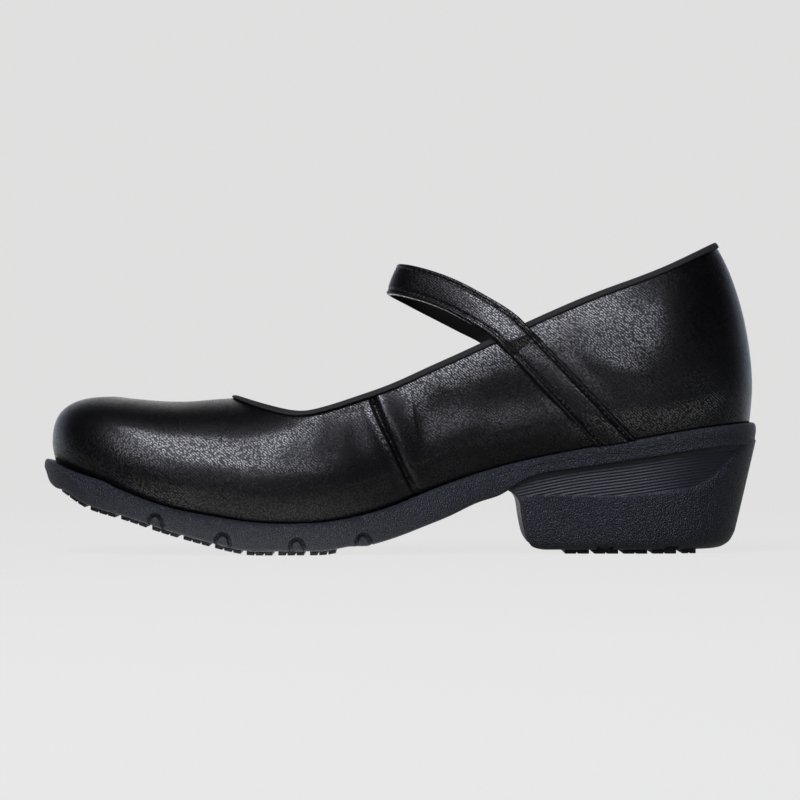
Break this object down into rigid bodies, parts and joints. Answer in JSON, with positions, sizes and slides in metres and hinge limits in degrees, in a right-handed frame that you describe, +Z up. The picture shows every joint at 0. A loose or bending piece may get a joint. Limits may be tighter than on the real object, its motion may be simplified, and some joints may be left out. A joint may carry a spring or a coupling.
{
  "type": "work shoe",
  "caption": "Low-cut leather work shoe for the right foot, with a round toe, a strap over the instep and a moulded sole with a block heel and tread lugs.",
  "frame": {"origin": "on the floor, under the middle of the shoe's box", "axes": "+X from the toe to the heel, +Y towards the outer side of the foot, +Z up"},
  "size_m": [0.2621, 0.0918, 0.1142],
  "materials": {
    "outsole": "matte, fine pebble grain",
    "upper": "satin black grain",
    "insole": "matte sock cover",
    "binding": "matte woven binding",
    "strap": "satin black grain"
  },
  "bodies": {
    "root": {"outsole": "outsole", "upper": "upper", "insole": "insole", "topline_binding": "binding", "instep_strap": "strap"}
  },
  "joints": []
}
